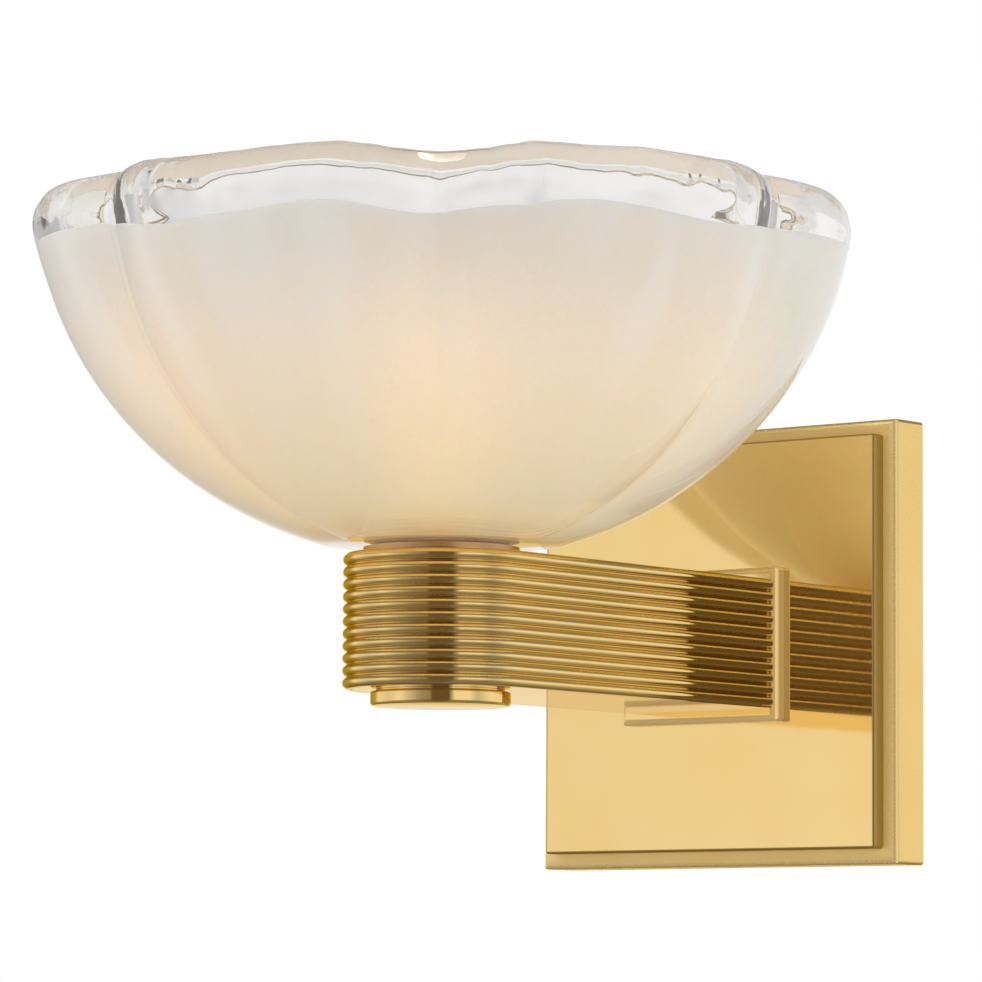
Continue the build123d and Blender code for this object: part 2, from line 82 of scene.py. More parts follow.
# quarter round from one (radius, height) to another, bulging towards the corner between them
def roundedCorner(start, corner, end, steps=6):
    points = []
    for i in range(steps + 1):
        t = i / steps * pi / 2
        points.append((corner[0] + (start[0] - corner[0]) * (1 - sin(t)) + (end[0] - corner[0]) * (1 - cos(t)),
                       corner[1] + (start[1] - corner[1]) * (1 - sin(t)) + (end[1] - corner[1]) * (1 - cos(t))))
    return points


def settle(piece, body, slotName, material, *nodes):
    piece.data.materials.append(material)
    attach(piece, body)
    if nodes:
        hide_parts(*nodes)
    return piece


# shader helpers: a socket given as a value is linked, anything else is set on the socket
def addNode(tree, kind, sockets=None, **settings):
    made = tree.nodes.new(kind)
    for key, value in settings.items():
        setattr(made, key, value)
    for key, value in (sockets or {}).items():
        if isinstance(value, bpy.types.NodeSocket):
            tree.links.new(value, made.inputs[key])
        else:
            made.inputs[key].default_value = value
    return made


def maths(tree, operation, *values):
    return addNode(tree, "ShaderNodeMath", dict(enumerate(values)), operation=operation).outputs[0]


def vectorMaths(tree, operation, *values):
    made = addNode(tree, "ShaderNodeVectorMath", dict(enumerate(values)), operation=operation)
    return made.outputs["Value" if operation == "DOT_PRODUCT" else "Vector"]


def noiseOf(tree, place, scale, detail, roughness=0.5):
    return addNode(tree, "ShaderNodeTexNoise", {"Vector": place, "Scale": scale, "Detail": detail,
                                                "Roughness": roughness}).outputs[0]


def placeOf(tree):
    return addNode(tree, "ShaderNodeTexCoord").outputs["Object"]


def axisOf(tree, vector, axis):
    return addNode(tree, "ShaderNodeSeparateXYZ", {"Vector": vector}).outputs[axis]


def remap(tree, value, low, high, newLow=0.0, newHigh=1.0, smooth=False):
    return addNode(tree, "ShaderNodeMapRange", {"Value": value, "From Min": low, "From Max": high,
                                                "To Min": newLow, "To Max": newHigh},
                   interpolation_type="SMOOTHSTEP" if smooth else "LINEAR").outputs["Result"]


def newGroup(name, inputs, outputs):
    group = bpy.data.node_groups.new(name, "ShaderNodeTree")
    for label, kind, value in inputs:
        group.interface.new_socket(name=label, in_out="INPUT", socket_type=kind).default_value = value
    for label, kind in outputs:
        group.interface.new_socket(name=label, in_out="OUTPUT", socket_type=kind)
    return group, group.nodes.new("NodeGroupInput"), group.nodes.new("NodeGroupOutput")


def useGroup(tree, group, sockets=None):
    made = tree.nodes.new("ShaderNodeGroup")
    made.node_tree = group
    for key, value in (sockets or {}).items():
        made.inputs[key].default_value = value
    return made


def newMaterial(name):
    material = bpy.data.materials.new(name)
    material.use_nodes = True
    tree = material.node_tree
    tree.nodes.clear()
    output = tree.nodes.new("ShaderNodeOutputMaterial")
    shader = tree.nodes.new("ShaderNodeBsdfPrincipled")
    tree.links.new(shader.outputs["BSDF"], output.inputs["Surface"])
    return material, tree, shader


colourSockets, colourOut = (6, 7), 2  # a Mix node's places for colours
vectorSockets, vectorOut = (4, 5), 1  # and for vectors


def mixColour(tree, factor, *colours):
    made = addNode(tree, "ShaderNodeMix", {"Factor": factor}, data_type="RGBA")
    for index, value in zip(colourSockets, colours):
        if isinstance(value, bpy.types.NodeSocket):
            tree.links.new(value, made.inputs[index])
        else:
            made.inputs[index].default_value = (*value, 1)
    return made.outputs[colourOut]


def mixVector(tree, factor, *vectors):
    sockets = {"Factor": factor, **dict(zip(vectorSockets, vectors))}
    return addNode(tree, "ShaderNodeMix", sockets, data_type="VECTOR").outputs[vectorOut]


number, vector = "NodeSocketFloat", "NodeSocketVector"
cloudSpan, markSpan = (0.3, 0.7), (0.25, 0.75)  # where most of a noise's values lie
bowlAxis = (0, bowlY * mm, 0)


# fine polishing marks along one direction, and a slow cloud of handling and lacquer
def makePolishMarks():
    group, source, target = newGroup("polishMarks", [("Stretch", vector, (1, 1, 1)), ("Fine", number, 600),
                                                     ("Slow", number, 25)], [("Marks", number), ("Cloud", number)])
    place = placeOf(group)
    drawn = vectorMaths(group, "MULTIPLY", place, source.outputs["Stretch"])
    marks = noiseOf(group, drawn, source.outputs["Fine"], detail=3.0, roughness=0.6)
    cloud = noiseOf(group, place, source.outputs["Slow"], detail=2.0)
    group.links.new(marks, target.inputs["Marks"])
    group.links.new(cloud, target.inputs["Cloud"])
    return group


# rubbed edges: how far a rounded normal turns away from the face's own
def makeEdgeWear():
    group, source, target = newGroup("edgeWear", [("Width", number, 0.0008)], [("Edge", number)])
    bevel = addNode(group, "ShaderNodeBevel", {"Radius": source.outputs["Width"]}, samples=4)
    face = addNode(group, "ShaderNodeNewGeometry")
    along = vectorMaths(group, "DOT_PRODUCT", bevel.outputs[0], face.outputs["Normal"])
    group.links.new(remap(group, along, 1.0, 0.75), target.inputs["Edge"])
    return group


# cloudy tone and a fine speck for moulded, fired and cast pieces
def makeMottle():
    group, source, target = newGroup("mottle", [("Slow", number, 60), ("Fine", number, 1500)],
                                     [("Cloud", number), ("Speck", number)])
    place = placeOf(group)
    group.links.new(noiseOf(group, place, source.outputs["Slow"], detail=3.0), target.inputs["Cloud"])
    group.links.new(noiseOf(group, place, source.outputs["Fine"], detail=2.0), target.inputs["Speck"])
    return group


# soft waves left in hand-worked glass
def makeGlassWaves():
    group, source, target = newGroup("glassWaves", [("Long", number, 22), ("Short", number, 70),
                                                    ("ShortShare", number, 0.25)],
                                     [("Height", number), ("Tint", number)])
    place = placeOf(group)
    wide = noiseOf(group, place, source.outputs["Long"], detail=1.0)
    short = noiseOf(group, place, source.outputs["Short"], detail=0.0)
    both = maths(group, "MULTIPLY_ADD", short, source.outputs["ShortShare"], wide)
    group.links.new(both, target.inputs["Height"])
    group.links.new(wide, target.inputs["Tint"])
    return group


# faces that look away from the wall
def makeFrontMask():
    group, source, target = newGroup("frontMask", [("Turn", number, 0.9), ("Full", number, 0.995)],
                                     [("Front", number)])
    normal = addNode(group, "ShaderNodeTexCoord").outputs["Normal"]
    away = maths(group, "MULTIPLY", axisOf(group, normal, "Y"), -1.0)
    group.links.new(remap(group, away, source.outputs["Turn"], source.outputs["Full"]), target.inputs["Front"])
    return group


# the side of the bowl's wall that looks away from a point high on its axis
def makeOuterMask():
    group, source, target = newGroup("outerMask", [("Axis", vector, (0, bowlY * mm, 0.12))], [("Outer", number)])
    coords = addNode(group, "ShaderNodeTexCoord")
    arm = vectorMaths(group, "SUBTRACT", coords.outputs["Object"], source.outputs["Axis"])
    along = vectorMaths(group, "DOT_PRODUCT", arm, coords.outputs["Normal"])
    group.links.new(maths(group, "GREATER_THAN", along, 0.0), target.inputs["Outer"])
    return group


veilShape = {"flat": (1, 1, 0), "lean": (0, 0, 3.0), "detail": 2.0, "roughness": 0.45, "span": (0.47, 0.60)}


# upright veils where the glass lies thicker over the opal
def makeGlassVeils():
    shape = veilShape
    group, source, target = newGroup("glassVeils", [("Axis", vector, bowlAxis), ("Count", number, 5.0)],
                                     [("Veil", number)])
    arm = vectorMaths(group, "SUBTRACT", placeOf(group), source.outputs["Axis"])
    ring = vectorMaths(group, "NORMALIZE", vectorMaths(group, "MULTIPLY", arm, shape["flat"]))
    lean = vectorMaths(group, "MULTIPLY_ADD", arm, shape["lean"], ring)
    streak = noiseOf(group, lean, source.outputs["Count"], shape["detail"], shape["roughness"])
    group.links.new(remap(group, streak, *shape["span"], smooth=True), target.inputs["Veil"])
    return group


# crest is in reeds from the groove's middle, upright in the normal's up share
grooveShape = {"top": 0.01855, "pitch": 0.003373, "crest": (0.24, 0.05), "upright": (0.99, 0.96)}


# painted shade: a darker brass painted into the grooves between reeds on upright faces
def makeGrooveShadeMask():
    shape = grooveShape
    group, source, target = newGroup("grooveShadeMask", [("Top", number, shape["top"]), ("Pitch", number, shape["pitch"])],
                                     [("GrooveShade", number)])
    coords = addNode(group, "ShaderNodeTexCoord")
    drop = maths(group, "SUBTRACT", source.outputs["Top"], axisOf(group, coords.outputs["Object"], "Z"))
    crest = maths(group, "PINGPONG", maths(group, "DIVIDE", drop, source.outputs["Pitch"]), 0.5)
    tilt = maths(group, "ABSOLUTE", axisOf(group, coords.outputs["Normal"], "Z"))
    both = maths(group, "MULTIPLY", remap(group, crest, *shape["crest"], smooth=True),
                 remap(group, tilt, *shape["upright"]))
    group.links.new(both, target.inputs["GrooveShade"])
    return group


# each lobe's turn lies nearer the lamp; ahead is the bowl's half that faces the room
def makeTurnMask():
    group, source, target = newGroup("turnMask", [("Axis", vector, bowlAxis), ("Lobes", number, 6.0),
                                                  ("Start", number, 0.0), ("Behind", number, 0.07),
                                                  ("Before", number, -0.03)], [("Turn", number), ("Ahead", number)])
    arm = vectorMaths(group, "SUBTRACT", placeOf(group), source.outputs["Axis"])
    sides = addNode(group, "ShaderNodeSeparateXYZ", {"Vector": arm})
    angle = maths(group, "ARCTAN2", sides.outputs["Y"], sides.outputs["X"])
    swing = maths(group, "MULTIPLY", maths(group, "SUBTRACT", angle, source.outputs["Start"]), source.outputs["Lobes"])
    share = maths(group, "MULTIPLY_ADD", maths(group, "COSINE", swing), 0.5, 0.5)
    group.links.new(maths(group, "POWER", share, 2.0), target.inputs["Turn"])
    ahead = remap(group, sides.outputs["Y"], source.outputs["Behind"], source.outputs["Before"], smooth=True)
    group.links.new(ahead, target.inputs["Ahead"])
    return group


polishMarks, edgeWear, mottle, glassWaves = makePolishMarks(), makeEdgeWear(), makeMottle(), makeGlassWaves()
frontMask, outerMask, glassVeils = makeFrontMask(), makeOuterMask(), makeGlassVeils()
grooveShadeMask, turnMask = makeGrooveShadeMask(), makeTurnMask()


def addBump(tree, shader, height, look):
    bump = addNode(tree, "ShaderNodeBump", {"Height": height, "Strength": look["bump"], "Distance": look["depth"]})
    tree.links.new(bump.outputs["Normal"], shader.inputs["Normal"])
    return bump.outputs["Normal"]


def metalFinish(name, look):
    material, tree, shader = newMaterial(name)
    marks = useGroup(tree, polishMarks, {"Stretch": look["stretch"], "Fine": look["fine"], "Slow": look["slow"]})
    wear = useGroup(tree, edgeWear, {"Width": look["edge"]})
    front = useGroup(tree, frontMask).outputs["Front"] if "flank" in look else None
    tone = mixColour(tree, remap(tree, marks.outputs["Cloud"], *cloudSpan), look["deep"], look["light"])
    tone = mixColour(tree, wear.outputs["Edge"], tone, look["worn"])
    # painted shade: the reeds' grooves take the darker groove tone
    if "groove" in look:
        tone = mixColour(tree, useGroup(tree, grooveShadeMask).outputs["GrooveShade"], tone, look["groove"])
    # painted shade: faces that turn from the front are painted the flank shade tone
    if "flankShadeTone" in look:
        tone = mixColour(tree, front, look["flankShadeTone"], tone)
    if "echo" in look:  # painted reflection: brass seen mirrored in other brass takes this paler tone
        tone = mixColour(tree, addNode(tree, "ShaderNodeLightPath").outputs["Is Glossy Ray"], tone, look["echo"])
    tree.links.new(tone, shader.inputs["Base Color"])
    rough = remap(tree, marks.outputs["Marks"], *markSpan, *look["rough"])
    if "flank" in look:
        satin = remap(tree, marks.outputs["Marks"], *markSpan, *look["flank"])
        rough = addNode(tree, "ShaderNodeMix", {"Factor": front, "A": satin, "B": rough}).outputs["Result"]
    tree.links.new(rough, shader.inputs["Roughness"])
    facing = addBump(tree, shader, marks.outputs["Marks"], look)
    if "dish" in look:  # the pressed flange falls away towards its edge
        fallen = addNode(tree, "ShaderNodeBevel", {"Radius": look["dish"], "Normal": facing}, samples=8).outputs[0]
        tree.links.new(mixVector(tree, front, facing, fallen), shader.inputs["Normal"])
    shader.inputs["Metallic"].default_value = look["metallic"]
    if "metals" in look:  # painted light: the pan's front and the collar's flanks are made less metallic, so they show a lit base colour where the mirror would show dark
        turned = useGroup(tree, frontMask, {"Turn": look["metalTurn"]}).outputs["Front"]
        tree.links.new(remap(tree, turned, 0, 1, *look["metals"]), shader.inputs["Metallic"])
    shader.inputs["Specular Tint"].default_value = (*look.get("graze", (1, 1, 1)), 1)
    return material


def mouldedFinish(name, look):
    material, tree, shader = newMaterial(name)
    marks = useGroup(tree, mottle, {"Slow": look["slow"], "Fine": look["fine"]})
    wear = useGroup(tree, edgeWear, {"Width": look["edge"]})
    tone = mixColour(tree, remap(tree, marks.outputs["Cloud"], *cloudSpan), look["deep"], look["light"])
    tree.links.new(mixColour(tree, wear.outputs["Edge"], tone, look["worn"]), shader.inputs["Base Color"])
    tree.links.new(remap(tree, marks.outputs["Speck"], *cloudSpan, *look["rough"]), shader.inputs["Roughness"])
    addBump(tree, shader, marks.outputs["Speck"], look)
    shader.inputs["Coat Weight"].default_value = look.get("coat", 0.0)
    return material


brassLook = {"light": (0.895, 0.655, 0.285), "deep": (0.870, 0.620, 0.250), "worn": (0.930, 0.720, 0.380),
             "graze": (0.97, 0.71, 0.13), "echo": (0.87, 0.76, 0.52), "rough": (0.035, 0.085),
             "stretch": (1, 1, 1), "fine": 900, "slow": 30, "edge": 0.0005, "bump": 0.03, "depth": 0.00005,
             "metallic": 1.0}
zincLook = {"light": (0.66, 0.67, 0.68), "deep": (0.54, 0.55, 0.57), "worn": (0.78, 0.78, 0.78),
            "rough": (0.24, 0.42), "stretch": (1, 1, 1), "fine": 500, "slow": 120, "edge": 0.0004,
            "bump": 0.12, "depth": 0.0001, "metallic": 1.0}
nickelLook = {"light": (0.70, 0.68, 0.63), "deep": (0.60, 0.58, 0.53), "worn": (0.80, 0.78, 0.73),
              "rough": (0.15, 0.28), "stretch": (1, 1, 0.2), "fine": 1500, "slow": 150, "edge": 0.0003,
              "bump": 0.06, "depth": 0.00005, "metallic": 1.0}
greenLook = {"light": (0.09, 0.36, 0.14), "deep": (0.06, 0.27, 0.10), "worn": (0.42, 0.46, 0.40),
             "rough": (0.28, 0.45), "stretch": (1, 1, 1), "fine": 900, "slow": 200, "edge": 0.0004,
             "bump": 0.08, "depth": 0.0001, "metallic": 0.6}
# painted shade: the plate's side faces are painted a darker brass
plateLook = {**brassLook, "rough": (0.03, 0.075), "flank": (0.40, 0.50), "fine": 1400,
             "flankShadeTone": (0.60, 0.41, 0.14)}
# painted light: the pan's front is less metallic, so it shows a lit base colour
panLook = {**brassLook, "rough": (0.34, 0.44), "flank": (0.20, 0.30), "fine": 1400, "dish": 0.0042,
           "metals": (1.0, 0.40), "metalTurn": 0.05}
collarLook = {**plateLook, "flank": (0.16, 0.24), "metals": (0.45, 1.0), "metalTurn": 0.9,
              "flankShadeTone": brassLook["light"]}
# painted shade: the groove tone is the darker brass painted into the reeds' grooves
reedLook = {**brassLook, "groove": (0.56, 0.39, 0.15)}
# painted shade: the seat under the bowl is painted a darker, browner brass
seatLook = {**brassLook, "light": (0.66, 0.45, 0.26), "deep": (0.59, 0.39, 0.22), "worn": (0.72, 0.52, 0.33),
            "echo": (0.60, 0.42, 0.26), "rough": (0.34, 0.48)}
finishes = {
    "polished_brass": metalFinish("polishedBrass", brassLook),
    "reed_brass": metalFinish("reedBrass", reedLook),
    "seat_brass": metalFinish("seatBrass", seatLook),
    "plate_brass": metalFinish("plateBrass", plateLook),
    "pan_brass": metalFinish("panBrass", panLook),
    "collar_brass": metalFinish("collarBrass", collarLook),
    "zinc_steel": metalFinish("zincSteel", zincLook),
    "nickel_contact": metalFinish("nickelContact", nickelLook),
    "green_screw": metalFinish("greenGround", greenLook),
}

mouldedLooks = {
    "silicone": {"light": (0.50, 0.34, 0.22), "deep": (0.42, 0.28, 0.18), "worn": (0.58, 0.42, 0.30),
                 "rough": (0.42, 0.58), "slow": 70, "fine": 1800, "edge": 0.0003, "bump": 0.10, "depth": 0.0001},
    "porcelain": {"light": (0.86, 0.84, 0.78), "deep": (0.78, 0.76, 0.70), "worn": (0.90, 0.89, 0.85),
                  "rough": (0.38, 0.62), "slow": 140, "fine": 2600, "edge": 0.0005, "bump": 0.15, "depth": 0.0001},
    "lamp_plastic": {"light": (0.86, 0.86, 0.83), "deep": (0.80, 0.80, 0.77), "worn": (0.90, 0.90, 0.88),
                     "rough": (0.22, 0.34), "slow": 90, "fine": 2000, "edge": 0.0005, "bump": 0.05,
                     "depth": 0.0001, "coat": 0.2},
    "led_phosphor": {"light": (0.90, 0.70, 0.22), "deep": (0.82, 0.60, 0.16), "worn": (0.94, 0.80, 0.40),
                     "rough": (0.40, 0.60), "slow": 400, "fine": 4000, "edge": 0.0002, "bump": 0.12,
                     "depth": 0.0001},
    "circuit_board": {"light": (0.84, 0.84, 0.80), "deep": (0.78, 0.79, 0.74), "worn": (0.70, 0.66, 0.50),
                      "rough": (0.35, 0.50), "slow": 200, "fine": 3000, "edge": 0.0002, "bump": 0.08,
                      "depth": 0.0001},
    "black_lead": {"light": (0.040, 0.040, 0.042), "deep": (0.028, 0.028, 0.030), "worn": (0.070, 0.070, 0.070),
                   "rough": (0.38, 0.55), "slow": 90, "fine": 2500, "edge": 0.0002, "bump": 0.10, "depth": 0.0001},
    "white_lead": {"light": (0.80, 0.79, 0.75), "deep": (0.73, 0.72, 0.68), "worn": (0.84, 0.83, 0.80),
                   "rough": (0.38, 0.55), "slow": 90, "fine": 2500, "edge": 0.0002, "bump": 0.10, "depth": 0.0001},
    "block_nylon": {"light": (0.78, 0.75, 0.66), "deep": (0.72, 0.68, 0.60), "worn": (0.84, 0.81, 0.74),
                    "rough": (0.34, 0.50), "slow": 110, "fine": 1800, "edge": 0.0004, "bump": 0.10,
                    "depth": 0.0001},
    "grommet_nylon": {"light": (0.050, 0.050, 0.052), "deep": (0.036, 0.036, 0.038), "worn": (0.10, 0.10, 0.10),
                      "rough": (0.34, 0.52), "slow": 110, "fine": 1800, "edge": 0.0004, "bump": 0.10,
                      "depth": 0.0001},
}
for slotName, look in mouldedLooks.items():
    words = slotName.split("_")
    finishes[slotName] = mouldedFinish(words[0] + "".join(word.title() for word in words[1:]), look)

# lamp light that the glass carries leaks out at its faces as a faint warm glow
clearLook = {"first": (1.0, 0.995, 0.985), "second": (0.995, 0.985, 0.965), "long": 20, "short": 60, "bump": 0.22,
             "depth": 0.0012, "leak": (1.0, 0.93, 0.82), "strength": 0.016, "rough": 0.0, "bend": 1.5}


def clearGlassFinish():
    look = clearLook
    material, tree, shader = newMaterial("clearGlass")
    waves = useGroup(tree, glassWaves, {"Long": look["long"], "Short": look["short"]})
    tint = mixColour(tree, waves.outputs["Tint"], look["first"], look["second"])
    tree.links.new(tint, shader.inputs["Base Color"])
    addBump(tree, shader, waves.outputs["Height"], look)
    shader.inputs["Transmission Weight"].default_value = 1.0
    shader.inputs["Emission Color"].default_value = (*look["leak"], 1)
    shader.inputs["Emission Strength"].default_value = look["strength"]
    shader.inputs["Roughness"].default_value = look["rough"]
    shader.inputs["IOR"].default_value = look["bend"]
    return material


# white at the rim, warmer towards the base and more amber at the foot; painted light: paler and cooler on the half
# towards the wall; painted shade: a darker cream on the inside faces;
# levels and spans are in metres, turn in degrees
opalLook = {"light": (0.902, 0.868, 0.840), "deep": (0.886, 0.848, 0.815), "veil": (0.930, 0.902, 0.880),
            "warm": (0.95, 0.86, 0.72), "foot": (0.93, 0.76, 0.57), "inside": (0.71, 0.66, 0.60),
            "warmSpan": (0.085, 0.018), "footSpan": (0.0315, 0.0270), "slow": 14, "fine": 1400, "cloud": (0.7, 1.3),
            "veils": 4.0, "rough": (0.36, 0.48), "scatter": (1.0, 0.72, 0.48), "reach": 0.006, "shine": 0.25,
            "glow": (1.0, 0.52, 0.14), "glowSpan": (0.104, 0.060, -0.060), "grain": (0.8, 1.2), "turn": -51.3,
            "between": 0.60, "behind": 0.58, "strength": 0.25, "backLitTone": (0.90, 0.93, 0.90),
            "backGlow": (0.95, 0.70, 0.36), "backLitShare": 0.7}


def opalGlassFinish():
    look = opalLook
    material, tree, shader = newMaterial("opalGlass")
    marks = useGroup(tree, mottle, {"Slow": look["slow"], "Fine": look["fine"]})
    cloud = maths(tree, "ADD", marks.outputs["Cloud"], marks.outputs["Speck"])
    tone = mixColour(tree, remap(tree, cloud, *look["cloud"]), look["deep"], look["light"])
    height = axisOf(tree, placeOf(tree), "Z")
    veil = useGroup(tree, glassVeils, {"Count": look["veils"]}).outputs["Veil"]
    tone = mixColour(tree, veil, tone, look["veil"])
    tone = mixColour(tree, remap(tree, height, *look["warmSpan"], smooth=True), tone, look["warm"])
    tone = mixColour(tree, remap(tree, height, *look["footSpan"]), tone, look["foot"])
    turns = useGroup(tree, turnMask, {"Start": radians(look["turn"])})
    ahead = turns.outputs["Ahead"]
    # painted light: the half towards the wall is painted paler and cooler
    tone = mixColour(tree, remap(tree, ahead, 0, 1, look["backLitShare"], 0), tone, look["backLitTone"])
    # painted shade: faces on the bowl's inside take the darker inside cream
    outer = useGroup(tree, outerMask).outputs["Outer"]
    tree.links.new(mixColour(tree, outer, look["inside"], tone), shader.inputs["Base Color"])
    tree.links.new(remap(tree, marks.outputs["Speck"], *cloudSpan, *look["rough"]), shader.inputs["Roughness"])
    # lamp light that comes through the wall, strongest at the lamp's height, in a fine grain
    top, peak, foot = look["glowSpan"]
    lit = remap(tree, height, top, peak, smooth=True)
    for share in (remap(tree, height, foot, peak, smooth=True), outer,
                  remap(tree, turns.outputs["Turn"], 0, 1, look["between"], 1),
                  remap(tree, ahead, 0, 1, look["behind"], 1),
                  remap(tree, marks.outputs["Speck"], *cloudSpan, *look["grain"])):
        lit = maths(tree, "MULTIPLY", lit, share)
    glow = mixColour(tree, ahead, look["backGlow"], look["glow"])
    tree.links.new(mixColour(tree, lit, (0, 0, 0), glow), shader.inputs["Emission Color"])
    shader.inputs["Emission Strength"].default_value = look["strength"]
    shader.inputs["Subsurface Weight"].default_value = 1.0
    shader.inputs["Subsurface Radius"].default_value = look["scatter"]
    shader.inputs["Subsurface Scale"].default_value = look["reach"]
    shader.inputs["Specular IOR Level"].default_value = look["shine"]
    return material


# the chips face the front and show as a bright patch on the globe
lampLook = {"bright": (1.0, 0.86, 0.62), "dim": (0.02, 0.012, 0.004), "turn": 0.86, "strength": 5.0,
            "glass": (0.93, 0.90, 0.84), "slow": 120, "fine": 3000, "rough": (0.45, 0.60)}


def frostedGlassFinish():
    look = lampLook
    material, tree, shader = newMaterial("frostedGlass")
    front = useGroup(tree, frontMask, {"Turn": look["turn"]}).outputs["Front"]
    tree.links.new(mixColour(tree, front, look["dim"], look["bright"]), shader.inputs["Emission Color"])
    marks = useGroup(tree, mottle, {"Slow": look["slow"], "Fine": look["fine"]})
    tree.links.new(remap(tree, marks.outputs["Speck"], *cloudSpan, *look["rough"]), shader.inputs["Roughness"])
    shader.inputs["Base Color"].default_value = (*look["glass"], 1)
    shader.inputs["Emission Strength"].default_value = look["strength"]
    return material


finishes["clear_glass"] = clearGlassFinish()
finishes["opal_glass"] = opalGlassFinish()
finishes["frosted_glass"] = frostedGlassFinish()
print("finishes made:", len(finishes))

# lengths in mm; a span is a pair of heights, and a wave's grain is its count over the bowl
bowlShape = {"crest": 113.3, "drop": 104.4, "centre": 121.1, "base": 21.2, "rim": 116.0, "floor": 31.2,
             "lobes": 6, "offset": 44.0, "turn": 8.7, "valley": 6.0, "valleyGrow": 0.05, "clear": 6.5, "wall": 9.0,
             "hole": 15.0, "land": 6.0, "opalEdge": 101.3, "opalRound": 0.6, "opalGap": 0.2, "recess": 0.15,
             "recessSpan": (-1.6, -0.3), "rimFrom": 70, "edgeFrom": 66, "flareSpan": (88, 112),
             # the lip draws in by lipOut; its lower edge is uneven, in three sizes of wave (share, grain)
             "lipOut": 7.8, "lipHigh": 11.6, "lipDrop": 3.2, "lipWave": 2.0,
             "lipWaves": ((1.0, 8.0), (0.6, 18.0), (0.4, 30.0)),
             # a seam left in the glass: degrees round the axis, degrees wide, mm high
             "seam": (-38.4, 1.3, 1.0), "seamSpan": (98, 104),
             "wave": 0.5, "waveGrain": 2.4, "waveFull": 30, "waveTall": 110,
             "ripple": 0.32, "rippleWaves": ((1.0, 7.0, 7.0), (0.5, 16.1, 3.0)), "rippleSpan": (0.5, 5),
             "steps": 432, "rows": {"outside": 64, "lip": 18, "lipInside": 14, "inside": 76,
                                    "opalOutside": 60, "opalTop": 8, "opalInside": 56},
             "seeds": {"wave": 0.0, "lip": 11.0},
             # hand-finished heights round the rim and the opal's edge: degrees round the axis, mm
             "rimHeights": ((-141, 0.9), (-126, 0.9), (-117, 0.65), (-108, 0.95), (-102, 0.9), (-97, 0.3), (-94, -0.3),
                            (-87, -0.8), (-81, -0.7), (-75, -0.1), (-70, 0.4), (-66, 0.7), (-62, 0.0), (-58, -0.9),
                            (-54, -1.3), (-49, -1.3), (-45, -0.9), (-41, 0.1), (-38, 0.95), (-35, 0.75), (-30, 0.3),
                            (-26, 0.45), (-22, 0.75), (-16, 0.4), (-9, 0.45), (-4, 0.95), (5, 0.95), (24, 0.95),
                            (45, 0.6), (66, -0.6), (78, 0.1), (100, 0.3), (118, -0.2), (130, -0.9), (142, 0.0),
                            (160, 0.5), (178, 0.4), (190, -0.5), (204, 0.4)),
             "edgeHeights": ((-139, 3.6), (-117, 2.6), (-112, 1.6), (-92, -2.2), (-82, -1.2), (-69, 0.8), (-55, -2.4),
                             (-40, -0.5), (-33, 1.0), (-30, 1.4), (-10, -0.9), (12, 2.0), (36, 3.4), (69, 0.5),
                             (98, 2.0), (130, -1.0), (160, 1.5), (190, 0.0)),
             "flare": ((-180, 0.0), (-150, 1.3), (-130, 1.2), (-112, 0.0), (0, 0.0), (120, 0.3))}


# distance from the axis to the bowl's level line, drawn in by inset and shrunk by share
def lobeRadius(angle, inset, share):
    shape = bowlShape
    half = pi / shape["lobes"]
    offset = shape["offset"] * share
    lobe = (shape["crest"] - inset - shape["offset"]) * share
    valley = (shape["valley"] + shape["valleyGrow"] * inset) * share
    reach = offset * cos(half) + sqrt((lobe + valley) ** 2 - (offset * sin(half)) ** 2)
    turn = abs((angle - radians(shape["turn"] - 90) + half) % (2 * half) - half)
    part = lobe / (lobe + valley)
    joinX = offset + (reach * cos(half) - offset) * part
    joinY = reach * sin(half) * part
    if turn <= atan2(joinY, joinX):
        return offset * cos(turn) + sqrt(lobe ** 2 - (offset * sin(turn)) ** 2)
    back = half - turn
    return reach * cos(back) - sqrt(max(0.0, valley ** 2 - (reach * sin(back)) ** 2))


def smoothStep(value, low, high):
    t = min(1.0, max(0.0, (value - low) / (high - low)))
    return t * t * (3 - 2 * t)


# value at an angle from a table of (degrees, value) that closes on itself
def roundTable(table, angle):
    turn = (degrees(angle) - table[0][0]) % 360 + table[0][0]
    for (first, low), (last, high) in zip(table, table[1:] + ((table[0][0] + 360, table[0][1]),)):
        if first <= turn <= last:
            return low + (high - low) * smoothStep(turn, first, last)
    return table[0][1]


def handWave(angle, z, grain, seed):
    return noise.noise(Vector((cos(angle) * grain, sin(angle) * grain, z * grain / bowlShape["waveTall"] + seed)))


def lipHeight(angle):
    shape = bowlShape
    waves = (share * handWave(angle, 0, grain, shape["seeds"]["lip"]) for share, grain in shape["lipWaves"])
    return shape["lipHigh"] + shape["lipWave"] * sum(waves)


def seamHeight(angle):
    place, width, high = bowlShape["seam"]
    return high * exp(-(((degrees(angle) - place + 180) % 360 - 180) / width) ** 2)


wallAngles = [2 * pi * i / bowlShape["steps"] for i in range(bowlShape["steps"])]
rimLifts = [roundTable(bowlShape["rimHeights"], angle) for angle in wallAngles]
edgeLifts = [roundTable(bowlShape["edgeHeights"], angle) for angle in wallAngles]
flares = [roundTable(bowlShape["flare"], angle) for angle in wallAngles]
lipHeights = [lipHeight(angle) for angle in wallAngles]
seams = [seamHeight(angle) for angle in wallAngles]


